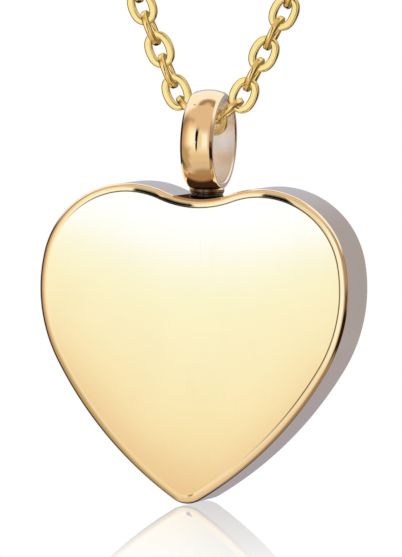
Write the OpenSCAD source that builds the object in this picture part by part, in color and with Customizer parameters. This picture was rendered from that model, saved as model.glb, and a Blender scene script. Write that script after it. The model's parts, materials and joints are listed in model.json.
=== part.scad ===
// Hollow heart pendant with a screw-in bail, on a cable chain with a ring clasp.
// Millimetres. X runs left to right, the front faces -Y and Z is up.
// The origin is the middle of the clasp at the nape, where the necklace hangs.

/* [Heart] */
// Width of the heart across both lobes
heart_w = 20; // [16:0.5:28]
// Thickness from the front face to the back face
heart_t = 5.3; // [4.8:0.1:8]
// Radius of the rounded edge round both faces
edge_r = 0.5; // [0.2:0.05:0.9]
// Wall between the hollow and each face
face_wall = 0.8; // [0.6:0.05:1]
// Wall between the hollow and the rim
rim_wall = 1; // [0.7:0.05:1.1]

/* [Bail] */
// Outer diameter of the bail
bail_d = 6.44; // [5.6:0.02:9]
// Thickness of the bail's band
bail_wall = 0.62; // [0.45:0.01:0.8]
// Width of the bail's band
bail_w = 1.85; // [1.7:0.05:2.3]
// Width of the bevel at each side of the band
bail_bevel = 0.16; // [0.1:0.02:0.4]

/* [Plug and seal] */
// Diameter of the plug
plug_d = 1.4; // [1:0.05:1.6]
// Length of the plug in the heart
plug_len = 3; // [2:0.1:4]
// Radial clearance of the plug in its bore
plug_clear = 0.04; // [0.02:0.01:0.1]
// Wall of the boss round the bore
boss_wall = 0.65; // [0.4:0.05:0.8]
// Height of the collar that shows under the bail
collar_h = 0.07; // [0.05:0.01:0.4]
// Outer diameter of the seal
seal_d = 2.1; // [1.9:0.05:2.4]
// Height of the seal
seal_h = 0.28; // [0.2:0.02:0.8]
// Gap above and below the seal
seal_gap = 0.02; // [0.01:0.01:0.05]

/* [Chain] */
// Length of the closed chain, clasp included
chain_len = 450; // [350:10:600]
// Angle of each strand from upright
strand_lean = 24.8; // [18:0.2:32]
// Outer length of a link
link_l = 2.35; // [2.2:0.05:2.8]
// Outer width of a link
link_w = 1.8; // [1.6:0.05:1.9]
// Diameter of the links' wire
wire_d = 0.4; // [0.3:0.02:0.44]
// Gap between two links that pass through each other
link_gap = 0.1; // [0.1:0.01:0.15]
// Gap between the middle link and the top of the bail's hole
hang_gap = 0.5; // [0.35:0.05:0.7]
// Number of real links on each side of the middle link
side_links = 16; // [8:1:19]

/* [Clasp] */
// Outer diameter of the clasp's ring
clasp_d = 5.5; // [5:0.1:8]
// Thickness of the clasp's ring
clasp_wire = 1; // [0.8:0.05:1.3]
// Outer diameter of the clasp's eye
eye_d = 2.4; // [2.2:0.1:3]
// Thickness of the clasp's eye
eye_wire = 0.5; // [0.4:0.05:0.6]
// Gap between the clasp and the end of the chain at each side
clasp_gap = 0.3; // [0.2:0.05:0.5]

/* [Hidden] */

gold = [0.93, 0.76, 0.42];
black_rubber = [0.04, 0.03, 0.03];
round_fn = 64;
wire_fn = 32;

// Right half of the heart's outline, from the notch clockwise to the tip.
// A row for each arc: radius as a share of the heart's width, heading at its end, steps.
// The notch turns left and the others right. The radius of 0 is the one that
// brings the tip back under the notch.
OUTLINE = [
    [0.286,   22.1,  7],
    [-0.282, -78.6, 20],
    [-0.492, -119.5, 9],
    [0,      -147.3, 8],
    [-0.077, -180,   8]
];
ARCS = len(OUTLINE);

function heading(i) = i < 0 ? 0 : OUTLINE[i][1];
function sine_step(i) = sin(heading(i)) - sin(heading(i - 1));
function sine_sum(i) = i < 0 ? 0 : OUTLINE[i][0] * sine_step(i) + sine_sum(i - 1);
closing = [for (i = [0:ARCS - 1]) if (OUTLINE[i][0] == 0) i][0];
closing_share = -sine_sum(ARCS - 1) / sine_step(closing);
function arc_share(i) = i == closing ? closing_share : OUTLINE[i][0];

// The widest point of the lobe's side is where the outline heads straight down.
function arc_point(i, share, a) = arc_start(i)
    + share * [sin(a) - sin(heading(i - 1)), cos(heading(i - 1)) - cos(a)];
function arc_start(i) = i == 0 ? [0, 0] : arc_point(i - 1, arc_share(i - 1), heading(i - 1));
widest_share = arc_point(2, arc_share(2), -90)[0];
outline_scale = heart_w / (2 * widest_share);
heart_drop = -arc_start(ARCS)[1] * outline_scale;

// Points of the right half, moved inwards by inset along the outline's normal.
function half_points(inset) = [
    for (i = [0:ARCS - 1])
        let (steps = OUTLINE[i][2], from = heading(i - 1), turn = heading(i) - from)
            for (k = [0:steps - 1])
                let (a = from + turn * k / steps)
                    outline_scale * arc_point(i, arc_share(i), a) - inset * [-sin(a), cos(a)]
];
function ring_points(inset) =
    let (half = half_points(inset), n = len(half))
        concat(half, [[0, inset - heart_drop]], [for (k = [n - 1:-1:1]) [-half[k][0], half[k][1]]]);

// Slab between rings of points. Each layer is [inset, depth], from the front to the back.
// Each flat face is a fan round a point on the centre line that sees the whole outline.
FAN_DROP_SHARE = 0.35;
module layered_heart(layers) {
    rings = [for (layer = layers) [for (p = ring_points(layer[0])) [p[0], layer[1], p[1]]]];
    n = len(rings[0]);
    last = len(layers) - 1;
    hubs = [for (j = [0, last]) [0, layers[j][1], -FAN_DROP_SHARE * heart_drop]];
    hub = n * (last + 1);
    sides = [
        for (j = [0:last - 1], k = [0:n - 1])
            let (a = j * n + k, b = j * n + (k + 1) % n)
                each [[a, b + n, b], [a, a + n, b + n]]
    ];
    front = [for (k = [0:n - 1]) [hub, k, (k + 1) % n]];
    back = [for (k = [0:n - 1]) [hub + 1, last * n + (k + 1) % n, last * n + k]];
    polyhedron(concat([for (ring = rings) each ring], hubs), concat(front, sides, back));
}

// Rounded edge from the face's rim to the side wall, as [inset, depth] pairs.
EDGE_STEPS = 4;
edge_layers = [
    for (k = [0:EDGE_STEPS])
        let (a = 90 * k / EDGE_STEPS)
            [edge_r * (1 - sin(a)), heart_t / 2 - edge_r + edge_r * cos(a)]
];

// Heights below the middle of the middle link, about which the pendant swings.
bail_r = bail_d / 2;
hole_r = bail_r - bail_wall;
bail_z = hang_gap + link_w / 2 - hole_r;
collar_z = bail_z - bail_r - collar_h;
seal_z = collar_z - seal_gap - seal_h;
seat_z = seal_z - seal_gap;

// Seat of the seal, cut just under the notch, and the bored boss in the hollow.
seat_depth = 0.03;
seat_clear = 0.08;
seat_r = seal_d / 2 + seat_clear;
notch_z = seat_z + seat_depth;
bore_r = plug_d / 2 + plug_clear;
boss_r = bore_r + boss_wall;
boss_past_plug = 0.2;
boss_end_z = seat_z - plug_len - boss_past_plug;
plug_chamfer = 0.15;
past = 1;

// Band of the bail in section, as [radius, side] pairs: a domed outside between bevels.
DOME_STEPS = 10;
dome_rise = 0.16;
bevel_drop = 0.14;
lip = 0.08;
dome_half = bail_w / 2 - bail_bevel;
band_section = concat(
    [[hole_r, -bail_w / 2 + lip], [hole_r + lip, -bail_w / 2]],
    [[bail_r - dome_rise - bevel_drop, -bail_w / 2]],
    [
        for (k = [0:DOME_STEPS])
            let (t = 2 * k / DOME_STEPS - 1)
                [bail_r - dome_rise * t * t, dome_half * t]
    ],
    [[bail_r - dome_rise - bevel_drop, bail_w / 2]],
    [[hole_r + lip, bail_w / 2], [hole_r, bail_w / 2 - lip]]
);

// Links: half the length between the two bends, the bend's radius, and how far past the
// middle of a bend the next link's wire lies.
straight_half = (link_l - link_w) / 2;
bend_r = (link_w - wire_d) / 2;
nest = bend_r - wire_d - link_gap;
pitch = link_l - 2 * wire_d - link_gap;

// The middle link lies level in the bail's hole and faces the front, and every second
// link is turned by a quarter. The first link leans out until the next one stands clear
// of the band, and the rest follow the strand. The two angles are about the mean leans
// at the ends of the first link.
NEST_SINES = sin(67) + sin(34);
reach = bail_w / 2 + link_w / 2 + link_gap - straight_half - nest * NEST_SINES;
first_lean = asin(reach / (2 * (bend_r + straight_half)));
function lean(i) = i == 0 ? 90 : i == 1 ? first_lean : strand_lean;
function along(a) = [sin(a), cos(a)];
function turned(i) = i % 2;
function link_at(i) = i == 0 ? [0, 0] :
    link_at(i - 1) + (straight_half + turned(i - 1) * bend_r) * along(lean(i - 1))
        + nest * along((lean(i - 1) + lean(i)) / 2)
        + (straight_half + turned(i) * bend_r) * along(lean(i));

// The strands run straight to a round stretch at the neck, whose radius gives the chain
// its length.
last_link = link_at(side_links);
rest_len = chain_len / 2 - side_links * pitch;
neck_r = (rest_len + last_link[0] / sin(strand_lean))
    / (1 / tan(strand_lean) + (90 + strand_lean) * PI / 180);
strand_len = (neck_r * cos(strand_lean) - last_link[0]) / sin(strand_lean);
neck_z = last_link[1] + strand_len * cos(strand_lean) + neck_r * sin(strand_lean);
nape_z = neck_z + neck_r;

// A station of the route, as [x, z, lean], at a length past the last real link.
function route(l) = l < strand_len
    ? concat(last_link + l * along(strand_lean), strand_lean)
    : let (a = (l - strand_len) / neck_r * 180 / PI - strand_lean)
        [neck_r * cos(a), neck_z + neck_r * sin(a), -a];

// The clasp's ring and eye overlap by part of the ring's thickness.
clasp_span = clasp_d + eye_d - eye_wire;
route_start = link_l / 2 + link_gap;
route_end = rest_len - clasp_span / 2 - clasp_gap;
TUBE_SIDES = 8;
TUBE_RINGS = 40;

module from_swing_axis() {
    translate([0, 0, -nape_z]) children();
}

module heart_shell() {
    color(gold) from_swing_axis() difference() {
        union() {
            translate([0, 0, notch_z]) difference() {
                layered_heart(concat(
                    [for (e = edge_layers) [e[0], -e[1]]],
                    [for (k = [EDGE_STEPS:-1:0]) edge_layers[k]]
                ));
                layered_heart([
                    [rim_wall, face_wall - heart_t / 2],
                    [rim_wall, heart_t / 2 - face_wall]
                ]);
            }
            translate([0, 0, boss_end_z])
                cylinder(h = notch_z - rim_wall / 2 - boss_end_z, r = boss_r, $fn = round_fn);
        }
        translate([0, 0, boss_end_z - past])
            cylinder(h = notch_z + 2 * past - boss_end_z, r = bore_r, $fn = round_fn);
        translate([0, 0, seat_z])
            cylinder(h = past, r = seat_r, $fn = round_fn);
    }
}

module bail_plug() {
    color(gold) from_swing_axis() union() {
        translate([0, 0, bail_z]) rotate([0, 90, 0])
            rotate_extrude($fn = 2 * round_fn) polygon(band_section);
        translate([0, 0, collar_z])
            cylinder(h = collar_h + bail_wall / 2, r = seal_d / 2, $fn = round_fn);
        translate([0, 0, seat_z - plug_len + plug_chamfer])
            cylinder(h = collar_z - seat_z + plug_len, r = plug_d / 2, $fn = round_fn);
        translate([0, 0, seat_z - plug_len])
            cylinder(h = plug_chamfer, r1 = plug_d / 2 - plug_chamfer, r2 = plug_d / 2, $fn = round_fn);
    }
}

SEAL_STEPS = 6;
module seal_ring() {
    inner = plug_d / 2 + plug_clear;
    bulge = seal_h / 4;
    side = [
        for (k = [0:SEAL_STEPS])
            let (a = 180 * k / SEAL_STEPS - 90)
                [seal_d / 2 - bulge + bulge * cos(a), seal_h / 2 + seal_h / 2 * sin(a)]
    ];
    color(black_rubber) from_swing_axis() translate([0, 0, seal_z])
        rotate_extrude($fn = round_fn) polygon(concat([[inner, 0]], side, [[inner, seal_h]]));
}

// A link whose length runs along Z and whose opening faces Y.
module link() {
    for (side = [-1, 1])
        translate([side * bend_r, 0, -straight_half])
            cylinder(h = 2 * straight_half, d = wire_d, $fn = wire_fn);
    for (up = [0, 1])
        mirror([0, 0, up]) translate([0, 0, straight_half]) rotate([90, 0, 0])
            rotate_extrude(angle = 180, $fn = round_fn)
                translate([bend_r, 0]) circle(d = wire_d, $fn = wire_fn);
}

module chain_links() {
    color(gold) from_swing_axis() {
        rotate([0, 90, 0]) link();
        for (i = [1:side_links], side = [-1, 1])
            translate([side * link_at(i)[0], 0, link_at(i)[1]])
                rotate([0, side * lean(i), 0]) rotate([0, 0, turned(i) * 90]) link();
    }
}

module chain_strand() {
    points = [
        for (j = [0:TUBE_RINGS - 1])
            let (s = route(route_start + (route_end - route_start) * j / (TUBE_RINGS - 1)))
                for (k = [0:TUBE_SIDES - 1])
                    let (a = 360 * (k + 0.5) / TUBE_SIDES, u = link_w / 2 * cos(a))
                        [s[0] + u * cos(s[2]), link_w / 2 * sin(a), s[1] - u * sin(s[2])]
    ];
    n = TUBE_SIDES;
    sides = [
        for (j = [0:TUBE_RINGS - 2], k = [0:n - 1])
            let (a = j * n + k, b = j * n + (k + 1) % n)
                each [[a, b + n, b], [a, a + n, b + n]]
    ];
    first = [[for (k = [0:n - 1]) k]];
    last = [[for (k = [n - 1:-1:0]) (TUBE_RINGS - 1) * n + k]];
    polyhedron(points, concat(first, sides, last));
}

module chain_back() {
    color(gold) from_swing_axis() {
        chain_strand();
        mirror([1, 0, 0]) chain_strand();
    }
}

module wire_ring(outer_d, thickness) {
    rotate([90, 0, 0]) rotate_extrude($fn = round_fn)
        translate([(outer_d - thickness) / 2, 0]) circle(d = thickness, $fn = wire_fn);
}

module clasp() {
    color(gold) union() {
        translate([(clasp_span - clasp_d) / 2, 0, 0]) wire_ring(clasp_d, clasp_wire);
        translate([(eye_d - clasp_span) / 2, 0, 0]) wire_ring(eye_d, eye_wire);
    }
}

heart_shell();
bail_plug();
seal_ring();
chain_links();
chain_back();
clasp();
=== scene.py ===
# Looks of a polished gold heart pendant that hangs on a fine cable chain.
# Shapes are worked out in millimetres from the middle of the middle link, about which the
# pendant swings, and are put into the frame in metres through TO_FRAME.
import json
import math

import bmesh
import bpy
from mathutils import Matrix, Vector


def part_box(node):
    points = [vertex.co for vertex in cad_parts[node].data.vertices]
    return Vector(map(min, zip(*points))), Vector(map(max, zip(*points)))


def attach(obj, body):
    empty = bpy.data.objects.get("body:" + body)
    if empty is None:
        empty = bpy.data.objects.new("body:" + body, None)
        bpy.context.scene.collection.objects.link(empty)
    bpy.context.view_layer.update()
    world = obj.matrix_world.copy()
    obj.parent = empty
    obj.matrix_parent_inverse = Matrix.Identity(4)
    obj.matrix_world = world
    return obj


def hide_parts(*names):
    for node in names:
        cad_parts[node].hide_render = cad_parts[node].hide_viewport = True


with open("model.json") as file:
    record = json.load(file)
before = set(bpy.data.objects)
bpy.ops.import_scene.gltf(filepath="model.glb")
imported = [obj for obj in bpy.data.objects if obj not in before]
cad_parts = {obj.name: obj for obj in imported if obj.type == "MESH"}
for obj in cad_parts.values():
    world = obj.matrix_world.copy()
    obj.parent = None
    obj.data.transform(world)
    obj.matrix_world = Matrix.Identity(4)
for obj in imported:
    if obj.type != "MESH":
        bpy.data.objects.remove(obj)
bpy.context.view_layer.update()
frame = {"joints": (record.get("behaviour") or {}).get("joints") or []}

# Frame
MM = 0.001
SWING_Z = frame["joints"][0]["pos_m"][2]
TO_FRAME = Matrix.Translation((0, 0, SWING_Z)) @ Matrix.Scale(MM, 4)


def node_box(node):
    """Lowest and highest corner of a CAD node, in millimetres from the swing axis."""
    back = TO_FRAME.inverted()
    return tuple(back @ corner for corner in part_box(node))


HEART_LOW, HEART_HIGH = node_box("heart_shell")
BAIL_LOW, BAIL_HIGH = node_box("bail_plug")
SEAL_LOW, SEAL_HIGH = node_box("seal_ring")

# Heart
HEART_W = HEART_HIGH.x - HEART_LOW.x
HALF_T = (HEART_HIGH.y - HEART_LOW.y) / 2
# The rim in section: a faint crease at the flat face, a shoulder that tightens, and a corner
RIM_W = 0.55
CREASE_TURN = 6.5
SHOULDER_TURN = 22
SHOULDER_FADE = 0.22
CORNER_R = 0.28
SHOULDER_STEPS = 16
CORNER_STEPS = 14
# From a rounding to the edge loop beside it, which keeps the flat there flat
SUPPORT = 0.03
FACE_WALL = 0.8
RIM_WALL = 1.0
# The middle of the flat faces' triangles, as a share of the way from the notch to the tip
FAN_DROP_SHARE = 0.35
# How far the cutter of the bore and the seat reaches past them
MOUTH_PAST = 1.0
# Right half of the outline, from the notch clockwise to the tip, a row for each arc:
# radius as a share of the width, heading at its end, steps. None closes the outline.
OUTLINE = (
    (0.286, 22.1, 36),
    (-0.282, -78.6, 90),
    (-0.492, -119.5, 40),
    (None, -147.3, 36),
    (-0.077, -180.0, 36),
)
WIDEST_ARC = 2
# Painted shade lines in the rim: dark lines painted in beside the face's crease, in place of
# the shade and dark reflection there. How dark its first and second row past the face are, and
# the row where the corner starts. They fade out to the lower left and to the tip, over
# millimetres from the heart's middle.
SHADE_LINE_STRENGTHS = (0.95, 0.9, 0.5)
LINE_SLOPE = 0.6
LINE_FADE_LEFT = (-5, 0)
LINE_FADE_TIP = (-8, -2)

# Bail
BAIL_R = BAIL_HIGH.y
BAIL_W = BAIL_HIGH.x - BAIL_LOW.x
BAIL_Z = BAIL_HIGH.z - BAIL_R
BAIL_WALL = 0.62
HOLE_R = BAIL_R - BAIL_WALL
BAIL_LOW_EDGE = BAIL_Z - BAIL_R
BEVEL_W = 0.16
BEVEL_DROP = 0.14
DOME_RISE = 0.16
DOME_STEPS = 28
# Chamfer of the bail's hole
LIP = 0.08
BAND_ROUNDING = 0.12
EDGE_ROUNDING = 0.03
BAND_SEGMENTS = 240

# Plug, seal and bore
PLUG_R = 0.7
PLUG_CLEAR = 0.04
BOSS_WALL = 0.65
BOSS_PAST_PLUG = 0.2
THREAD_PITCH = 0.3
THREAD_DEPTH = 0.09
THREAD_ROWS = 12
PLUG_SIDES = 64
PLUG_CHAMFER = 0.15
SEAL_R = SEAL_HIGH.x
SEAL_H = SEAL_HIGH.z - SEAL_LOW.z
SEAL_BULGE = SEAL_H / 4
SEAL_STEPS = 24
SEAL_SEGMENTS = 96
SEAL_GAP = 0.02
SEAT_CLEAR = 0.08
SEAT_Z = SEAL_LOW.z - SEAL_GAP
COLLAR_Z = SEAL_HIGH.z + SEAL_GAP
# Solder between the collar and the bail: its fillet, and how far up the bail its painted shade goes
SOLDER_R = 0.05
SOLDER_STEPS = 6
SOLDER_SHADE_RISE = 0.2

# Chain
CHAIN_LEN = 450.0
STRAND_LEAN = 24.8
LINK_L = 2.35
LINK_W = 1.8
WIRE_D = 0.4
LINK_GAP = 0.1
SIDE_LINKS = 16
STRAIGHT_HALF = (LINK_L - LINK_W) / 2
BEND_R = (LINK_W - WIRE_D) / 2
NEST = BEND_R - WIRE_D - LINK_GAP
PITCH = LINK_L - 2 * WIRE_D - LINK_GAP
# Links as they are pressed: ovals of flattened wire, broader along the sides than round the ends
OUTER_ROUNDNESS = 2.25
INNER_ROUNDNESS = 2.1
SIDE_WIRE = 0.5
END_WIRE = 0.4
LINK_THICKNESS = 0.37
WIRE_ROUNDING = 0.09
# How far the middle of the wire's flats stands proud
FLAT_RISE = 0.005
# Steps round a link and round each corner of its wire
FRONT_LINK_STEPS = (48, 3)
BACK_LINK_STEPS = (18, 2)

# Clasp
CLASP_D = 5.5
CLASP_WIRE = 1.0
EYE_D = 2.4
EYE_WIRE = 0.5
CLASP_SPAN = CLASP_D + EYE_D - EYE_WIRE
# Steps round each ring and round its wire
CLASP_STEPS = (128, 32)
EYE_STEPS = (72, 24)

# Camera, fitted to the photograph's outline
IMAGE_W = 402
FOCAL_PX = 8000
SENSOR_W = 36
VIEW_AZIMUTH = 15.51
VIEW_ELEVATION = 3.74
VIEW_ROLL = 1.94
VIEW_DISTANCE = 501.8
AIM_UP = 4.468
AIM_RIGHT = -0.038
VIEW_END = 100

# Meshes
MERGE_DISTANCE = 1e-6
ROW_TOLERANCE = 1e-4
FLAT_COSINE = 0.99999
# Most of a side that one rounding may take up
REACH_SHARE = 0.45


def sin_deg(a):
    return math.sin(math.radians(a))


def cos_deg(a):
    return math.cos(math.radians(a))


def smooth(value, low, high):
    """Smooth rise from 0 at low to 1 at high."""
    t = min(1.0, max(0.0, (value - low) / (high - low)))
    return t * t * (3 - 2 * t)


def loft(rows, wrap=False):
    """Points and quads of closed rows of equal length, joined in order."""
    n = len(rows[0])
    points = [p for row in rows for p in row]
    count = len(rows) if wrap else len(rows) - 1
    faces = []
    for a in range(count):
        b = (a + 1) % len(rows)
        for k in range(n):
            m = (k + 1) % n
            faces.append((a * n + k, a * n + m, b * n + m, b * n + k))
    return points, faces


def fan(points, faces, row_start, n, hub):
    """Closes a row of n points with triangles round a hub point."""
    points.append(hub)
    centre = len(points) - 1
    faces.extend((centre, row_start + k, row_start + (k + 1) % n) for k in range(n))


def build(name, points, faces):
    """An object in millimetres with its faces turned outwards."""
    mesh = bpy.data.meshes.new(name)
    mesh.from_pydata([tuple(p) for p in points], [], faces)
    form = bmesh.new()
    form.from_mesh(mesh)
    bmesh.ops.remove_doubles(form, verts=form.verts, dist=MERGE_DISTANCE)
    bmesh.ops.recalc_face_normals(form, faces=form.faces)
    form.to_mesh(mesh)
    form.free()
    piece = bpy.data.objects.new(name, mesh)
    bpy.context.scene.collection.objects.link(piece)
    return piece


def combine(piece, other, operation):
    """Joins or cuts a piece by another one, which is used up."""
    modifier = piece.modifiers.new("combine", "BOOLEAN")
    modifier.operation = operation
    modifier.solver = "EXACT"
    modifier.object = other
    bpy.context.view_layer.update()
    graph = bpy.context.evaluated_depsgraph_get()
    result = bpy.data.meshes.new_from_object(piece.evaluated_get(graph))
    piece.modifiers.clear()
    piece.data = result
    bpy.data.objects.remove(other)


def shade(piece, sharp_angle, flat_axis=None):
    """Smooth shading with sharp edges, and crisp borders round faces that look along flat_axis."""
    form = bmesh.new()
    form.from_mesh(piece.data)
    limit = math.radians(sharp_angle)

    def flat(face):
        return flat_axis is not None and abs(face.normal.dot(flat_axis)) > FLAT_COSINE

    for face in form.faces:
        face.smooth = True
    for edge in form.edges:
        pair = edge.link_faces
        if len(pair) == 2:
            edge.smooth = edge.calc_face_angle() <= limit and flat(pair[0]) == flat(pair[1])
    form.to_mesh(piece.data)
    form.free()


def place(piece, material, body, slot, *nodes):
    """Puts a finished piece into the frame, in place of the CAD nodes that it stands for."""
    piece.data.transform(TO_FRAME)
    piece.data.materials.clear()
    piece.data.materials.append(material)
    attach(piece, body)
    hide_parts(*nodes)


def revolve(profile, segments):
    """Rows of (radius, height) pairs turned about the Z axis."""
    return [
        [
            (r * cos_deg(360 * k / segments), r * sin_deg(360 * k / segments), z)
            for k in range(segments)
        ]
        for r, z in profile
    ]


def rounded(corners, radius, steps=6, from_angle=12):
    """A closed path whose corners sharper than from_angle are rounded."""
    path = []
    count = len(corners)
    for i, corner in enumerate(corners):
        here = Vector(corner)
        before = Vector(corners[i - 1]) - here
        after = Vector(corners[(i + 1) % count]) - here
        turn = math.pi - before.angle(after)
        if turn < math.radians(from_angle):
            path.append(tuple(here))
            continue
        reach = min(radius * math.tan(turn / 2), REACH_SHARE * before.length, REACH_SHARE * after.length)
        start = here + reach * before.normalized()
        end = here + reach * after.normalized()
        for k in range(steps + 1):
            t = k / steps
            path.append(tuple((1 - t) ** 2 * start + 2 * t * (1 - t) * here + t**2 * end))
    return path


# Materials
# Painted shade for the heart rim's lines and the solder under the bail, and how much rougher
# its lines are
PAINTED_SHADE = (0.10, 0.06, 0.03)
LINE_ROUGHER = 0.2
# Satin inside the bail's hole, with a soft border just past its wall
SATIN_TINT = (0.98, 0.93, 0.88)
SATIN_ROUGHER = 0.26
SATIN_BORDER = 0.03
SATIN_PAST_HOLE = 0.02
# Painted shade on the collar and the bail's foot, fading out from below to above its height
SOLDER_SHADE_FADE = (-0.01, 0.03)
SOLDER_SHADE = 0.95
# Noises of the metals: features a millimetre, and the range of values in which they show
NOISE_ROUGHNESS = 0.55
TONE_PER_MM = 0.25
TONE_RANGE = (0.3, 0.7)
HAIRS_PER_MM = 6.0
HAIR_STRETCH = (1, 1, 0.06)
HAIR_RANGE = (0.5, 0.75)
CLOUDS_PER_MM = 0.6
CLOUD_RANGE = (0.35, 0.7)
RIPPLE_PER_MM = 1.2
# The seal's rubber
RUBBER_TONES = ((0.006, 0.005, 0.005), (0.02, 0.015, 0.014))
RUBBER_TONE_PER_MM = 3.0
RUBBER_SHEEN_PER_MM = 9.0
RUBBER_ROUGHNESS = (0.06, 0.16)
RUBBER_GRAIN_PER_MM = 14.0
RUBBER_GRAIN = 0.0004


class Sheet:
    """Adds nodes to a node tree. Values and sockets are both taken as inputs."""

    def __init__(self, tree):
        self.tree = tree
        tree.nodes.clear()

    def node(self, kind, inputs=None, **settings):
        made = self.tree.nodes.new(kind)
        for key, value in settings.items():
            setattr(made, key, value)
        for key, value in (inputs or {}).items():
            self.feed(made.inputs[key], value)
        return made

    def feed(self, socket, value):
        """Links a socket to another one, or gives it a value. A colour may leave out its alpha."""
        if isinstance(value, bpy.types.NodeSocket):
            self.tree.links.new(value, socket)
        elif socket.type == "RGBA" and len(value) == 3:
            socket.default_value = (*value, 1)
        else:
            socket.default_value = value

    def math(self, operation, *values):
        return self.node("ShaderNodeMath", dict(enumerate(values)), operation=operation).outputs[0]

    def vector(self, operation, *values):
        return self.node("ShaderNodeVectorMath", dict(enumerate(values)), operation=operation).outputs[0]

    def length(self, value):
        return self.node("ShaderNodeVectorMath", {0: value}, operation="LENGTH").outputs["Value"]

    def part(self, value, axis):
        return self.node("ShaderNodeSeparateXYZ", {"Vector": value}).outputs[axis]

    def line(self, value, low, high, out_low=0.0, out_high=1.0, **settings):
        """Straight rise or fall between low and high."""
        inputs = {
            "Value": value,
            "From Min": low,
            "From Max": high,
            "To Min": out_low,
            "To Max": out_high,
        }
        return self.node("ShaderNodeMapRange", inputs, **settings).outputs["Result"]

    def step(self, *values):
        """Smooth rise or fall, with the same values as line."""
        return self.line(*values, interpolation_type="SMOOTHSTEP")

    def window(self, value, low, high, soft):
        """1 between low and high, with soft borders."""
        rise = self.step(value, low - soft, low + soft)
        fall = self.step(value, high + soft, high - soft)
        return self.math("MULTIPLY", rise, fall)

    def mix(self, share, first, second):
        """Blend of two colours, whose sockets have a number because their names aren't unique."""
        first_colour, second_colour, result = 6, 7, 2
        inputs = {"Factor": share, first_colour: first, second_colour: second}
        return self.node("ShaderNodeMix", inputs, data_type="RGBA").outputs[result]

    def ramp(self, share, stops):
        """A colour ramp over (place, colour) stops."""
        made = self.node("ShaderNodeValToRGB", {"Fac": share})
        elements = made.color_ramp.elements
        while len(elements) < len(stops):
            elements.new(0.5)
        for element, (at, colour) in zip(elements, stops):
            element.position = at
            element.color = (*colour, 1)
        return made.outputs["Color"]


def new_material(name):
    """A material and the sheet that its nodes go on."""
    material = bpy.data.materials.new(name)
    material.use_nodes = True
    return material, Sheet(material.node_tree)


def object_position(sheet):
    """Place on the object, in metres of the frame."""
    return sheet.node("ShaderNodeTexCoord").outputs["Object"]


def noise(sheet, position, per_mm, detail=3.0, stretch=(1, 1, 1)):
    """Noise with so many features a millimetre, drawn out along the axes with a small stretch."""
    scaled = sheet.vector("MULTIPLY", position, stretch)
    inputs = {"Vector": scaled, "Scale": per_mm / MM, "Detail": detail, "Roughness": NOISE_ROUGHNESS}
    return sheet.node("ShaderNodeTexNoise", inputs).outputs["Fac"]


def bump(sheet, height, depth):
    """A surface direction from a height that is scaled to a depth in millimetres."""
    inputs = {"Height": height, "Distance": depth * MM, "Strength": 1.0}
    return sheet.node("ShaderNodeBump", inputs).outputs["Normal"]


def finish_surface(sheet, inputs):
    """The surface shader with its inputs, on the material's output."""
    shader = sheet.node("ShaderNodeBsdfPrincipled", inputs)
    sheet.node("ShaderNodeOutputMaterial", {"Surface": shader.outputs["BSDF"]})


def painted_shade_lines(sheet, colour, rough):
    """Painted shade: darker and rougher where the mesh's attribute "line" is high."""
    line = sheet.node("ShaderNodeAttribute", attribute_name="line").outputs["Fac"]
    return sheet.mix(line, colour, PAINTED_SHADE), sheet.math("MULTIPLY_ADD", line, LINE_ROUGHER, rough)


def satin_hole(sheet, at, colour, rough, satin_r):
    """Satin nearer than satin_r to the bail's axis, and painted shade where the collar is soldered on.
    """
    away = sheet.vector("SUBTRACT", at, TO_FRAME @ Vector((0, 0, BAIL_Z)))
    away = sheet.vector("MULTIPLY", away, (0, 1 / MM, 1 / MM))
    satin = sheet.step(sheet.length(away), satin_r + SATIN_BORDER, satin_r)
    rough = sheet.math("MULTIPLY_ADD", satin, SATIN_ROUGHER, rough)
    colour = sheet.mix(satin, colour, SATIN_TINT)
    top = SOLDER_SHADE_RISE - BAIL_R
    low, high = (top + fade for fade in SOLDER_SHADE_FADE)
    # Painted shade on the collar and the bail's foot
    solder = sheet.step(sheet.part(away, "Z"), high, low, 0.0, SOLDER_SHADE)
    return sheet.mix(solder, colour, PAINTED_SHADE), rough


def polished_metal(
    name, light, deep, roughness, ripple, edge=(1, 1, 1), shade_lines=False, satin_r=None
):
    """Plated and polished metal: faint tone drift, hairline wear and a slight ripple.

    Its tone lies between light and deep, and its roughness between the two values given. Its
    glancing reflections are tinted by edge. A metal with shade_lines has painted shade lines in
    its rim, and one with a satin_r is the bail's, satin inside its hole and with painted shade on
    its solder.
    """
    material, sheet = new_material(name)
    at = object_position(sheet)
    tone = sheet.step(noise(sheet, at, TONE_PER_MM), *TONE_RANGE)
    colour = sheet.mix(tone, light, deep)
    hairs = noise(sheet, at, HAIRS_PER_MM, detail=5.0, stretch=HAIR_STRETCH)
    clouds = noise(sheet, at, CLOUDS_PER_MM)
    wear = sheet.math("MULTIPLY", sheet.step(hairs, *HAIR_RANGE), sheet.step(clouds, *CLOUD_RANGE))
    rough = sheet.step(wear, 0.0, 1.0, *roughness)
    if shade_lines:
        colour, rough = painted_shade_lines(sheet, colour, rough)
    if satin_r:
        colour, rough = satin_hole(sheet, at, colour, rough, satin_r)
    inputs = {
        "Base Color": colour,
        "Metallic": 1.0,
        "Specular Tint": edge,
        "Roughness": rough,
        "Normal": bump(sheet, noise(sheet, at, RIPPLE_PER_MM), ripple),
    }
    finish_surface(sheet, inputs)
    return material


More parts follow.
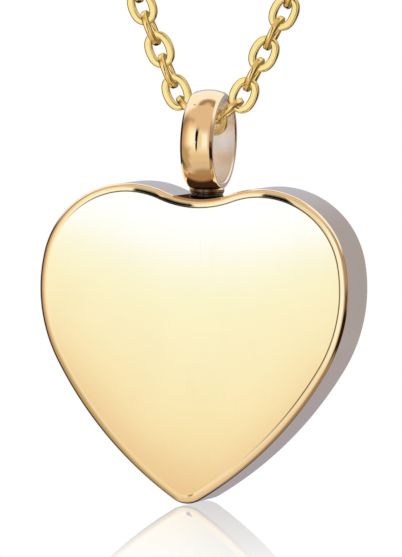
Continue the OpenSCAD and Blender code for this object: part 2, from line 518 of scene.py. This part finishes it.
def glossy_rubber(name):
    """Moulded black rubber with a wet gloss and a fine grain."""
    material, sheet = new_material(name)
    at = object_position(sheet)
    colour = sheet.mix(noise(sheet, at, RUBBER_TONE_PER_MM), *RUBBER_TONES)
    rough = sheet.step(noise(sheet, at, RUBBER_SHEEN_PER_MM), *TONE_RANGE, *RUBBER_ROUGHNESS)
    inputs = {
        "Base Color": colour,
        "Roughness": rough,
        "Specular IOR Level": 0.4,
        "Coat Weight": 0.2,
        "Coat Roughness": 0.03,
        "Normal": bump(sheet, noise(sheet, at, RUBBER_GRAIN_PER_MM), RUBBER_GRAIN),
    }
    finish_surface(sheet, inputs)
    return material


HEART_GOLD = polished_metal(
    "heart_gold",
    light=(0.99, 0.87, 0.61),
    deep=(0.975, 0.855, 0.59),
    roughness=(0.04, 0.07),
    ripple=0.00002,
    # Painted shade lines in the rim
    shade_lines=True,
)
BAIL_GOLD = polished_metal(
    "bail_gold",
    light=(0.98, 0.82, 0.55),
    deep=(0.965, 0.805, 0.53),
    roughness=(0.05, 0.11),
    ripple=0.0001,
    satin_r=HOLE_R + SATIN_PAST_HOLE,
)
CHAIN_GOLD = polished_metal(
    "chain_gold",
    light=(0.95, 0.75, 0.33),
    deep=(0.93, 0.72, 0.29),
    roughness=(0.05, 0.1),
    ripple=0.0001,
    edge=(0.58, 0.5, 0.25),
)
SEAL_BLACK = glossy_rubber("seal_black")


# Heart
def outline_arcs():
    """Arcs of the right half as (start x, start z, share, from, to, steps), in shares of the width."""
    sines = []
    before = 0.0
    for share, end, steps in OUTLINE:
        sines.append(sin_deg(end) - sin_deg(before))
        before = end
    known = sum(row[0] * s for row, s in zip(OUTLINE, sines) if row[0] is not None)
    arcs = []
    x, z, before = 0.0, 0.0, 0.0
    for (share, end, steps), s in zip(OUTLINE, sines):
        if share is None:
            share = -known / s
        arcs.append((x, z, share, before, end, steps))
        x += share * (sin_deg(end) - sin_deg(before))
        z += share * (cos_deg(before) - cos_deg(end))
        before = end
    return arcs, -z


def arc_at(arc, a):
    """Point of an arc of the outline where its heading is a."""
    x, z, share, start = arc[:4]
    return x + share * (sin_deg(a) - sin_deg(start)), z + share * (cos_deg(start) - cos_deg(a))


ARCS, DROP_SHARE = outline_arcs()
OUTLINE_SCALE = HEART_W / (2 * arc_at(ARCS[WIDEST_ARC], -90)[0])
HEART_DROP = DROP_SHARE * OUTLINE_SCALE
NOTCH_Z = HEART_LOW.z + HEART_DROP


def outline_ring(inset, y, every=1):
    """The heart's outline moved inwards, at a depth. every thins the points out."""
    half = []
    for arc in ARCS:
        start, end, steps = arc[3], arc[4], arc[5] // every
        for k in range(steps):
            a = start + (end - start) * k / steps
            x, z = (OUTLINE_SCALE * share for share in arc_at(arc, a))
            half.append((x + inset * sin_deg(a), z - inset * cos_deg(a)))
    tip = [(0.0, inset - HEART_DROP)]
    mirrored = [(-x, z) for x, z in reversed(half[1:])]
    return [(x, y, NOTCH_Z + z) for x, z in half + tip + mirrored]


def rim_profile():
    """(inset, depth) pairs from the border of the flat face, over the shoulder, to the side wall."""
    turn = SHOULDER_TURN - CREASE_TURN
    shape = [(0.0, 0.0)]
    for k in range(SHOULDER_STEPS):
        share = (k + 0.5) / SHOULDER_STEPS
        length = 1 - (1 - SHOULDER_FADE) * share
        a = CREASE_TURN + turn * share
        shape.append((shape[-1][0] + length * cos_deg(a), shape[-1][1] + length * sin_deg(a)))
    scale = (RIM_W - CORNER_R * (1 - sin_deg(SHOULDER_TURN))) / shape[-1][0]
    profile = [(RIM_W - scale * across, HALF_T - scale * down) for across, down in shape[:-1]]
    top = HALF_T - scale * shape[-1][1]
    for k in range(CORNER_STEPS + 1):
        a = SHOULDER_TURN + (90 - SHOULDER_TURN) * k / CORNER_STEPS
        down = CORNER_R * (cos_deg(SHOULDER_TURN) - cos_deg(a))
        profile.append((CORNER_R * (1 - sin_deg(a)), top - down))
    profile.append((0.0, profile[-1][1] - SUPPORT))
    return profile


def heart_solid(name, layers, every=1):
    """A closed heart through (inset, y) layers from the front to the back."""
    rows = [outline_ring(inset, y, every) for inset, y in layers]
    points, faces = loft(rows)
    n = len(rows[0])
    hub_z = NOTCH_Z - FAN_DROP_SHARE * HEART_DROP
    fan(points, faces, 0, n, (0, layers[0][1], hub_z))
    fan(points, faces, (len(rows) - 1) * n, n, (0, layers[-1][1], hub_z))
    return build(name, points, faces)


def stepped_rod(name, profile, segments):
    """A closed solid of revolution about Z, through (radius, height) pairs from the bottom."""
    points, faces = loft(revolve(profile, segments))
    fan(points, faces, 0, segments, (0, 0, profile[0][1]))
    fan(points, faces, (len(profile) - 1) * segments, segments, (0, 0, profile[-1][1]))
    return build(name, points, faces)


def draw_shade_lines(heart):
    """Marks the rows of the rim that get painted shade lines, in the mesh's attribute "line"."""
    rim = rim_profile()
    depths = [rim[row][1] for row in (1, 2, SHOULDER_STEPS)]
    middle_z = NOTCH_Z - HEART_DROP / 2
    values = []
    for vertex in heart.data.vertices:
        x, y, z = vertex.co.x, vertex.co.y, vertex.co.z - middle_z
        strength = sum(
            full for depth, full in zip(depths, SHADE_LINE_STRENGTHS) if abs(abs(y) - depth) < ROW_TOLERANCE
        )
        shown = smooth(x + LINE_SLOPE * z, *LINE_FADE_LEFT) * smooth(z, *LINE_FADE_TIP)
        values.append(strength * shown)
    heart.data.attributes.new("line", "FLOAT", "POINT").data.foreach_set("value", values)


def make_heart():
    """The hollow shell, with the bore and the seal's seat cut through its boss."""
    rim = rim_profile()
    layers = [(inset, -depth) for inset, depth in rim]
    layers += [(inset, depth) for inset, depth in reversed(rim)]
    heart = heart_solid("heart", layers)
    bore_r = PLUG_R + PLUG_CLEAR
    boss_r = bore_r + BOSS_WALL
    boss_end = BAIL_LOW.z - BOSS_PAST_PLUG
    half_cavity = HALF_T - FACE_WALL
    cavity = heart_solid("cavity", [(RIM_WALL, -half_cavity), (RIM_WALL, half_cavity)], every=4)
    boss = stepped_rod("boss", [(boss_r, boss_end), (boss_r, NOTCH_Z)], PLUG_SIDES)
    combine(cavity, boss, "DIFFERENCE")
    combine(heart, cavity, "DIFFERENCE")
    seat_r = SEAL_R + SEAT_CLEAR
    mouth = [
        (bore_r, boss_end - MOUTH_PAST),
        (bore_r, SEAT_Z - PLUG_CLEAR),
        (bore_r + PLUG_CLEAR, SEAT_Z),
        (seat_r, SEAT_Z),
        (seat_r, SEAT_Z + MOUTH_PAST),
    ]
    combine(heart, stepped_rod("mouth", mouth, 2 * PLUG_SIDES), "DIFFERENCE")
    shade(heart, sharp_angle=24, flat_axis=Vector((0, 1, 0)))
    # Painted shade lines beside the crease of the flat faces
    draw_shade_lines(heart)
    place(heart, HEART_GOLD, "heart", "polished_gold", "heart_shell")


# Bail and seal
def make_bail():
    """The domed ring with bevelled sides and softened edges, on its threaded stem."""
    dome_half = BAIL_W / 2 - BEVEL_W
    side_r = BAIL_R - DOME_RISE - BEVEL_DROP
    dome = []
    for k in range(DOME_STEPS + 1):
        t = 2 * k / DOME_STEPS - 1
        dome.append((BAIL_R - DOME_RISE * t * t, dome_half * t))
    section = [(HOLE_R, LIP - BAIL_W / 2), (HOLE_R + LIP, -BAIL_W / 2), (side_r, -BAIL_W / 2)]
    section += dome
    section += [(side_r, BAIL_W / 2), (HOLE_R + LIP, BAIL_W / 2), (HOLE_R, BAIL_W / 2 - LIP)]
    path = rounded(section, BAND_ROUNDING, steps=8)
    rows = [
        [(side, r * sin_deg(a), BAIL_Z + r * cos_deg(a)) for r, side in path]
        for a in (360 * k / BAND_SEGMENTS for k in range(BAND_SEGMENTS))
    ]
    bail = build("bail", *loft(rows, wrap=True))
    combine(bail, threaded_stem(), "UNION")
    shade(bail, sharp_angle=32)
    place(bail, BAIL_GOLD, "bail", "polished_gold", "bail_plug")


def threaded_stem():
    """The collar under the bail, flared where it is soldered on, and the threaded plug."""
    end = BAIL_LOW.z
    root_r = PLUG_R - THREAD_DEPTH
    first, last = end + PLUG_CHAMFER, SEAT_Z - THREAD_PITCH
    rows = revolve([(PLUG_R - PLUG_CHAMFER, end), (root_r, first)], PLUG_SIDES)
    count = round((last - first) / THREAD_PITCH * THREAD_ROWS)
    for i in range(1, count):
        z = first + (last - first) * i / count
        fade = min(1, i / THREAD_ROWS, (count - i) / THREAD_ROWS)
        row = []
        for k in range(PLUG_SIDES):
            phase = 2 * math.pi * ((z - first) / THREAD_PITCH - k / PLUG_SIDES)
            crest = 0.5 + 0.5 * math.cos(phase)
            r = root_r + THREAD_DEPTH * fade * crest
            a = 360 * k / PLUG_SIDES
            row.append((r * cos_deg(a), r * sin_deg(a), z))
        rows.append(row)
    collar = [
        (root_r, last),
        (root_r, COLLAR_Z),
        (SEAL_R - EDGE_ROUNDING, COLLAR_Z),
        (SEAL_R, COLLAR_Z + EDGE_ROUNDING),
    ]
    for k in range(SOLDER_STEPS + 1):
        a = 90 * k / SOLDER_STEPS
        collar.append((SEAL_R + SOLDER_R * (1 - cos_deg(a)), BAIL_LOW_EDGE + SOLDER_R * sin_deg(a)))
    top = BAIL_LOW_EDGE + BAIL_WALL / 2
    collar.append((SEAL_R + SOLDER_R, top))
    rows += revolve(collar, PLUG_SIDES)
    points, faces = loft(rows)
    fan(points, faces, 0, PLUG_SIDES, (0, 0, end))
    fan(points, faces, (len(rows) - 1) * PLUG_SIDES, PLUG_SIDES, (0, 0, top))
    return build("stem", points, faces)


def make_seal():
    """The rubber ring round the plug, with a bulging side."""
    inner = PLUG_R + PLUG_CLEAR
    side = []
    for k in range(SEAL_STEPS + 1):
        a = 180 * k / SEAL_STEPS - 90
        z = SEAL_LOW.z + SEAL_H / 2 * (1 + sin_deg(a))
        side.append((SEAL_R - SEAL_BULGE + SEAL_BULGE * cos_deg(a), z))
    path = rounded([(inner, SEAL_LOW.z), *side, (inner, SEAL_HIGH.z)], EDGE_ROUNDING, from_angle=30)
    rows = [
        [(r * cos_deg(a), r * sin_deg(a), z) for r, z in path]
        for a in (360 * k / SEAL_SEGMENTS for k in range(SEAL_SEGMENTS))
    ]
    seal = build("seal", *loft(rows, wrap=True))
    shade(seal, sharp_angle=40)
    place(seal, SEAL_BLACK, "bail", "black_rubber", "seal_ring")


# Chain
def oval(a, half_w, half_l, roundness):
    """Point of a rounded oval at an angle that turns from its side to its end."""
    u = math.copysign(abs(cos_deg(a)) ** (2 / roundness), cos_deg(a))
    v = math.copysign(abs(sin_deg(a)) ** (2 / roundness), sin_deg(a))
    return Vector((half_w * u, half_l * v))


def link_section(half, corner_steps):
    """(across, through) pairs round the flattened wire, with a support line at each flat's border."""
    across, through = half - WIRE_ROUNDING, LINK_THICKNESS / 2 - WIRE_ROUNDING
    section = []
    for c, (u, v) in enumerate(((1, 1), (-1, 1), (-1, -1), (1, -1))):
        arc = []
        for k in range(corner_steps + 1):
            b = 90 * (c + k / corner_steps)
            right, up = WIRE_ROUNDING * cos_deg(b), WIRE_ROUNDING * sin_deg(b)
            arc.append((u * across + right, v * through + up))
        support = (u * (across - SUPPORT), v * LINK_THICKNESS / 2)
        crown = (0.0, v * (LINK_THICKNESS / 2 + FLAT_RISE))
        section += arc + [support, crown] if c % 2 == 0 else [support] + arc
    return section


def link_form(steps, corner_steps):
    """Points and faces of a link whose length runs along Z and whose opening faces Y."""
    rows = []
    for i in range(steps):
        a = 360 * (i + 0.5) / steps
        outer = oval(a, LINK_W / 2, LINK_L / 2, OUTER_ROUNDNESS)
        inner = oval(a, LINK_W / 2 - SIDE_WIRE, LINK_L / 2 - END_WIRE, INNER_ROUNDNESS)
        middle, across = (outer + inner) / 2, (outer - inner).normalized()
        section = link_section((outer - inner).length / 2, corner_steps)
        rows.append([(middle.x + u * across.x, v, middle.y + u * across.y) for u, v in section])
    return loft(rows, wrap=True)


def chain_of(name, spots, form):
    """One mesh of links at (x, z, lean, turned) spots."""
    points, faces = [], []
    for x, z, lean, turned in spots:
        pose = (
            Matrix.Translation((x, 0, z))
            @ Matrix.Rotation(math.radians(lean), 4, "Y")
            @ Matrix.Rotation(math.radians(90 * turned), 4, "Z")
        )
        start = len(points)
        points += [pose @ Vector(p) for p in form[0]]
        faces += [tuple(start + i for i in face) for face in form[1]]
    chain = build(name, points, faces)
    shade(chain, sharp_angle=70)
    return chain


def along(lean):
    """Direction of a link that leans so far from upright, as (x, z)."""
    return Vector((sin_deg(lean), cos_deg(lean)))


# The first link leans so that the second clears the bail's side. The directions in which it
# nests with its neighbours lean by about 67 and 34 degrees.
NEST_SINES = sin_deg(67) + sin_deg(34)
REACH = BAIL_W / 2 + LINK_W / 2 + LINK_GAP - STRAIGHT_HALF - NEST * NEST_SINES
FIRST_LEAN = math.degrees(math.asin(REACH / (2 * (BEND_R + STRAIGHT_HALF))))


def link_lean(i):
    """Lean of the link that is i away from the middle one."""
    return (90, FIRST_LEAN)[i] if i < 2 else STRAND_LEAN


def front_places():
    """Middles of the links of one side, from the middle link outwards."""
    places = [Vector((0, 0))]
    for i in range(1, SIDE_LINKS + 1):
        before, here = link_lean(i - 1), link_lean(i)
        step = (STRAIGHT_HALF + (i - 1) % 2 * BEND_R) * along(before)
        step += NEST * along((before + here) / 2)
        step += (STRAIGHT_HALF + i % 2 * BEND_R) * along(here)
        places.append(places[-1] + step)
    return places


FRONT = front_places()
REST_LEN = CHAIN_LEN / 2 - SIDE_LINKS * PITCH
NECK_R = (REST_LEN + FRONT[-1].x / sin_deg(STRAND_LEAN)) / (
    cos_deg(STRAND_LEAN) / sin_deg(STRAND_LEAN) + math.radians(90 + STRAND_LEAN)
)
STRAND_LEN = (NECK_R * cos_deg(STRAND_LEAN) - FRONT[-1].x) / sin_deg(STRAND_LEAN)
NECK_Z = FRONT[-1].y + STRAND_LEN * cos_deg(STRAND_LEAN) + NECK_R * sin_deg(STRAND_LEAN)


def route(length):
    """(x, z, lean) at a length past the last front link, up the strand and round the neck."""
    if length < STRAND_LEN:
        spot = FRONT[-1] + length * along(STRAND_LEAN)
        return spot.x, spot.y, STRAND_LEAN
    a = math.degrees((length - STRAND_LEN) / NECK_R) - STRAND_LEAN
    return NECK_R * cos_deg(a), NECK_Z + NECK_R * sin_deg(a), -a


def make_chain():
    """The links in front and the links round the neck, each as one mesh.

    The front ones stay out of reflections, so that the bail's dome stays clear.
    """
    spots = [(0, 0, 90, 0)]
    for i, middle in enumerate(FRONT[1:], 1):
        for side in (1, -1):
            spots.append((side * middle.x, middle.y, side * link_lean(i), i % 2))
    front = chain_of("front_links", spots, link_form(*FRONT_LINK_STEPS))
    front.visible_glossy = False
    place(front, CHAIN_GOLD, "chain", "chain_gold", "chain_links")

    # The last link of each side passes through the clasp's ring or eye, and stands edge-on.
    ring_end = (CLASP_SPAN / 2 - CLASP_WIRE, 1)
    eye_end = (CLASP_SPAN / 2 - EYE_WIRE, -1)
    spots = []
    for inside, side in (ring_end, eye_end):
        last = REST_LEN - (inside - WIRE_D / 2 - LINK_GAP / 2 + LINK_L / 2 - WIRE_D / 2)
        count = 2 * round((last / PITCH - 1) / 2) + 1
        for k in range(1, count + 1):
            x, z, lean = route(last * k / count)
            spots.append((side * x, z, side * lean, (SIDE_LINKS + k) % 2))
    back = chain_of("back_links", spots, link_form(*BACK_LINK_STEPS))
    place(back, CHAIN_GOLD, "chain", "chain_gold", "chain_back")


def ring_form(name, x, outer_d, thickness, steps, sides):
    """A round ring in the XZ plane, at the height of the nape."""
    nape_z = -SWING_Z / MM
    radius = (outer_d - thickness) / 2
    rows = []
    for i in range(steps):
        a = 360 * i / steps
        rows.append([])
        for k in range(sides):
            b = 360 * k / sides
            r = radius + thickness / 2 * cos_deg(b)
            rows[-1].append((x + r * cos_deg(a), thickness / 2 * sin_deg(b), nape_z + r * sin_deg(a)))
    return build(name, *loft(rows, wrap=True))


def make_clasp():
    """The clasp's round ring, joined to its eye."""
    clasp = ring_form("clasp_ring", (CLASP_SPAN - CLASP_D) / 2, CLASP_D, CLASP_WIRE, *CLASP_STEPS)
    eye = ring_form("clasp_eye", (EYE_D - CLASP_SPAN) / 2, EYE_D, EYE_WIRE, *EYE_STEPS)
    combine(clasp, eye, "UNION")
    shade(clasp, sharp_angle=40)
    place(clasp, CHAIN_GOLD, "chain", "chain_gold", "clasp")


# Studio
# Panels round the object that only reflections show, later ones over earlier ones, in degrees:
# azimuth from, to and softness, height from, to and softness, and colour.
# Azimuth 0 is in front of the heart and grows to the right.
FRONT_PANELS = (
    ((-100, 100, 8), (-64, -44, 7), (0.70, 0.55, 0.41)),
    ((-48, 90, 6), (-48, -24, 7), (0.78, 0.62, 0.45)),
    ((-48, 90, 6), (-28, -10, 6), (0.90, 0.75, 0.56)),
    ((-100, -46, 8), (-52, -11, 5), (0.48, 0.36, 0.22)),
    ((-100, -36, 8), (-35, -12, 7), (0.50, 0.36, 0.19)),
    ((-200, -116, 4), (-40, 70, 12), (0.50, 0.51, 0.68)),
    ((-120, -64, 3), (-44, 38, 14), (0.04, 0.025, 0.015)),
    ((-67, -30, 4), (-14, 44, 8), (0.34, 0.24, 0.17)),
    ((-56, -30, 3), (-13, 42, 8), (0.57, 0.38, 0.27)),
    ((-48, -26, 3), (-12, 40, 8), (0.77, 0.54, 0.37)),
    ((-42.5, -20, 3), (-11, 34, 10), (0.97, 0.74, 0.52)),
    ((-37, -8, 3), (-10, 26, 10), (1.01, 0.94, 0.76)),
    ((-31, -8, 3), (-10, 20, 10), (1.02, 1.08, 1.10)),
    ((-20, 24, 2), (-16, 20, 10), (1.03, 1.04, 1.0)),
    ((-8, 4, 2), (-17, 22, 8), (0.88, 0.77, 0.61)),
    ((19.5, 70, 3), (-18, 30, 8), (0.70, 0.56, 0.46)),
    ((27, 100, 3), (-18, 34, 8), (0.50, 0.38, 0.30)),
    ((40, 104, 5), (-18, 40, 6), (0.42, 0.29, 0.21)),
    ((40, 100, 6), (-30, 0, 4), (0.13, 0.07, 0.045)),
    ((98, 140, 6), (-12, 60, 8), (0.33, 0.23, 0.18)),
    ((37, 140, 5), (-66, -24, 5), (0.36, 0.24, 0.15)),
    ((37, 140, 5), (-29, -9, 3), (0.02, 0.01, 0.005)),
)
# The same behind the object, with azimuth 0 straight behind.
BACK_PANELS = (
    ((-26, 26, 5), (-21, 22, 4), (0.395, 0.37, 0.44)),
    ((-32, -2, 12), (-4, 22, 5), (0.50, 0.50, 0.60)),
    ((-8, 8, 4), (-9, 8, 4), (0.98, 0.93, 0.82)),
    ((-100, 100, 12), (68, 84, 5), (0.40, 0.26, 0.17)),
    ((-100, 100, 12), (22, 70, 5), (1.02, 0.98, 0.97)),
)
# Under the panels: a blend over the height, and a dark stretch low behind
NADIR = (0.42, 0.27, 0.15)
ZENITH = (0.78, 0.59, 0.44)
BLEND_HEIGHT = (-40, 30)
BLACK_BEHIND = (0.012, 0.006, 0.004)
BLACK_HEIGHT = (-20, -28)
BLACK_FADE = (0.0, 0.12)
# Dark slit between two front panels, wider at the top
SLIT_AZIMUTH = -11.5
SLIT_HALF = (2.6, 4.6)
SLIT_HEIGHT = (-20, 27)
SLIT_ENDS = (7, 8)
SLIT_SOFT = 0.6
SLIT_BLACK = (0.006, 0.004, 0.002)
# Card that the flat face mirrors: azimuth and height from, to and softness. Its colours rise with
# the height, and lag behind towards its sides below a share of the rise.
CARD_MIDDLE = -15.5
CARD_AZIMUTH = (-17.6, -13.2, 0.3)
CARD_HEIGHT = (-6.2, -0.4, 0.3)
CARD_RAMP_HEIGHT = (-4.8, -1.2)
CARD_SIDE_DROP = 0.6
CARD_DROP_BELOW = 0.62
CARD_STRENGTH = 2.0
CARD_STOPS = (
    (0.0, (0.42, 0.31, 0.21)),
    (0.1, (0.49, 0.46, 0.36)),
    (0.22, (0.49, 0.49, 0.42)),
    (0.42, (0.49, 0.53, 0.49)),
    (0.53, (0.515, 0.60, 0.88)),
    (0.64, (0.515, 0.60, 0.88)),
    (0.75, (0.50, 0.53, 0.52)),
)
BACKDROP = (1.0, 1.0, 1.0)


def slit_share(sheet, front, height):
    """1 inside the slit, which is cut off softly at its ends."""
    off = sheet.math("ABSOLUTE", sheet.math("SUBTRACT", front, SLIT_AZIMUTH))
    past = sheet.math("SUBTRACT", off, sheet.step(height, *SLIT_HEIGHT, *SLIT_HALF))
    share = sheet.step(past, SLIT_SOFT, -SLIT_SOFT)
    for end, soft, away in zip(SLIT_HEIGHT, SLIT_ENDS, (-1, 1)):
        fade = sheet.step(height, end + away * soft, end - away * soft)
        share = sheet.math("MULTIPLY", share, fade)
    return share


def card_colour(sheet, front, height):
    """The card's colours over its height, later at its sides."""
    rise = sheet.line(height, *CARD_RAMP_HEIGHT)
    aside = sheet.math("SUBTRACT", front, CARD_MIDDLE)
    drop = sheet.math("MULTIPLY", sheet.math("MULTIPLY", aside, aside), CARD_SIDE_DROP)
    drop = sheet.math("MULTIPLY", drop, sheet.math("SUBTRACT", CARD_DROP_BELOW, rise))
    rise = sheet.math("SUBTRACT", rise, sheet.math("MAXIMUM", drop, 0.0))
    inputs = {0: sheet.ramp(rise, CARD_STOPS), "Scale": CARD_STRENGTH}
    return sheet.node("ShaderNodeVectorMath", inputs, operation="SCALE").outputs[0]


def make_world():
    """Panels, slit and card for the reflections, and a white backdrop for the camera."""
    world = bpy.data.worlds.new("studio")
    world.use_nodes = True
    bpy.context.scene.world = world
    sheet = Sheet(world.node_tree)
    direction = sheet.node("ShaderNodeTexCoord").outputs["Generated"]
    x, y, z = (sheet.part(direction, axis) for axis in "XYZ")

    def degrees(value):
        return sheet.math("MULTIPLY", value, 180 / math.pi)

    height = degrees(sheet.math("ARCSINE", z))
    front = degrees(sheet.math("ARCTAN2", x, sheet.math("MULTIPLY", y, -1.0)))
    behind = degrees(sheet.math("ARCTAN2", x, y))

    colour = sheet.mix(sheet.step(height, *BLEND_HEIGHT), NADIR, ZENITH)
    low_behind = sheet.math("MULTIPLY", sheet.step(y, *BLACK_FADE), sheet.step(height, *BLACK_HEIGHT))
    colour = sheet.mix(low_behind, colour, BLACK_BEHIND)
    for azimuth, panels in ((front, FRONT_PANELS), (behind, BACK_PANELS)):
        for across, up, tint in panels:
            share = sheet.math("MULTIPLY", sheet.window(azimuth, *across), sheet.window(height, *up))
            colour = sheet.mix(share, colour, tint)
    colour = sheet.mix(slit_share(sheet, front, height), colour, SLIT_BLACK)
    on_card = sheet.math(
        "MULTIPLY", sheet.window(front, *CARD_AZIMUTH), sheet.window(height, *CARD_HEIGHT)
    )
    colour = sheet.mix(on_card, colour, card_colour(sheet, front, height))

    camera_ray = sheet.node("ShaderNodeLightPath").outputs["Is Camera Ray"]
    colour = sheet.mix(camera_ray, colour, BACKDROP)
    background = sheet.node("ShaderNodeBackground", {"Color": colour, "Strength": 1.0})
    sheet.node("ShaderNodeOutputWorld", {"Surface": background.outputs["Background"]})


# Floor
FLOOR_GAP = 0.06
FLOOR_HALF = 400
FLOOR_ROUGHNESS = 0.02
MIRROR_SHARE = 0.5
MIRROR_REACH = 58
GLOW_DISTANCE = 900
GLOW_SIZE = 260
GLOW_RADIANCE = 0.52


def make_floor():
    """A white floor just under the tip, glossy near it. It shows the backdrop through itself."""
    material, sheet = new_material("floor_gloss")
    distance = sheet.length(object_position(sheet))
    share = sheet.line(distance, 0.0, MIRROR_REACH * MM, MIRROR_SHARE, 0.0)
    clear = sheet.node("ShaderNodeBsdfTransparent")
    gloss = sheet.node("ShaderNodeBsdfGlossy", {"Color": (1, 1, 1), "Roughness": FLOOR_ROUGHNESS})
    both = sheet.node("ShaderNodeMixShader", {0: share, 1: clear.outputs[0], 2: gloss.outputs[0]})
    sheet.node("ShaderNodeOutputMaterial", {"Surface": both.outputs[0]})

    half = FLOOR_HALF * MM
    mesh = bpy.data.meshes.new("floor")
    corners = [(-half, -half, 0), (half, -half, 0), (half, half, 0), (-half, half, 0)]
    mesh.from_pydata(corners, [], [(0, 1, 2, 3)])
    mesh.materials.append(material)
    floor = bpy.data.objects.new("floor", mesh)
    floor.location = TO_FRAME @ Vector((0, 0, HEART_LOW.z - FLOOR_GAP))
    bpy.context.scene.collection.objects.link(floor)
    floor.visible_glossy = False
    floor.visible_diffuse = False
    floor.visible_shadow = False
    return floor


def make_floor_glow(floor, toward_camera):
    """A soft light that only the floor mirrors, so that its gloss stays as white as the backdrop."""
    light = bpy.data.lights.new("floor_glow", "AREA")
    light.shape = "SQUARE"
    light.size = GLOW_SIZE * MM
    light.energy = GLOW_RADIANCE * math.pi * light.size**2
    away = Vector((-toward_camera.x, -toward_camera.y, toward_camera.z))
    glow = bpy.data.objects.new("floor_glow", light)
    glow.location = floor.location + GLOW_DISTANCE * MM * away
    glow.rotation_euler = away.to_track_quat("Z", "Y").to_euler()
    glow.visible_camera = False
    bpy.context.scene.collection.objects.link(glow)
    lit = bpy.data.collections.new("lit_by_floor_glow")
    lit.objects.link(floor)
    glow.light_linking.receiver_collection = lit


# Dark strip over the notch, a painted reflection that the bail's foot mirrors: it glows
# brown in front and black from a depth on
FLAG_HALF = 1.5
FLAG_STEPS = 8
FLAG_BROWN = (0.42, 0.23, 0.12)
FLAG_BLACK = (0.045, 0.02, 0.01)
FLAG_TURN = (-2.1, -1.6)
FLAG_LIFT = 0.05


def make_flag():
    """A glowing dark strip that follows the notch just over it, seen only in reflections, where it
    paints in a dark reflection.
    """
    radius = OUTLINE[0][0] * OUTLINE_SCALE
    points = []
    for k in range(FLAG_STEPS + 1):
        x = FLAG_HALF * (2 * k / FLAG_STEPS - 1)
        z = NOTCH_Z + FLAG_LIFT + radius - math.sqrt(radius**2 - x**2)
        points += [(x, -HALF_T, z), (x, HALF_T, z)]
    faces = [(2 * k, 2 * k + 1, 2 * k + 3, 2 * k + 2) for k in range(FLAG_STEPS)]
    material, sheet = new_material("flag_painted_reflection")
    start, end = (MM * depth for depth in FLAG_TURN)
    black = sheet.step(sheet.part(object_position(sheet), "Y"), start, end)
    colour = sheet.mix(black, FLAG_BROWN, FLAG_BLACK)
    # The strip glows with its own colour: a painted reflection, no lamp
    glow = sheet.node("ShaderNodeEmission", {"Color": colour, "Strength": 1.0})
    sheet.node("ShaderNodeOutputMaterial", {"Surface": glow.outputs[0]})
    flag = build("notch_flag", points, faces)
    flag.data.transform(TO_FRAME)
    flag.data.materials.append(material)
    flag.visible_camera = False
    flag.visible_diffuse = False
    flag.visible_shadow = False


def make_camera():
    """A long lens at the photograph's angle, turned a little about its own axis."""
    azimuth, elevation = math.radians(VIEW_AZIMUTH), math.radians(VIEW_ELEVATION)
    toward = Vector(
        (
            math.sin(azimuth) * math.cos(elevation),
            -math.cos(azimuth) * math.cos(elevation),
            math.sin(elevation),
        )
    )
    level = Vector((math.cos(azimuth), math.sin(azimuth), 0))
    upright = toward.cross(level)
    roll = math.radians(VIEW_ROLL)
    right = level * math.cos(roll) + upright * math.sin(roll)
    up = upright * math.cos(roll) - level * math.sin(roll)
    middle = Vector((0, 0, NOTCH_Z - HEART_DROP / 2))
    place_at = middle + VIEW_DISTANCE * toward
    aim = middle + AIM_UP * up + AIM_RIGHT * right
    backward = (place_at - aim).normalized()
    side = up.cross(backward).normalized()
    turn = Matrix((side, backward.cross(side), backward)).transposed().to_4x4()

    data = bpy.data.cameras.new("camera")
    data.sensor_fit = "HORIZONTAL"
    data.sensor_width = SENSOR_W
    data.lens = FOCAL_PX * SENSOR_W / IMAGE_W
    data.clip_end = VIEW_END
    camera = bpy.data.objects.new("camera", data)
    camera.matrix_world = Matrix.Translation(TO_FRAME @ place_at) @ turn
    bpy.context.scene.collection.objects.link(camera)
    bpy.context.scene.camera = camera
    return toward


make_heart()
make_bail()
make_seal()
make_chain()
make_clasp()
make_world()
make_flag()
make_floor_glow(make_floor(), make_camera())
bpy.context.scene.view_settings.view_transform = "Standard"
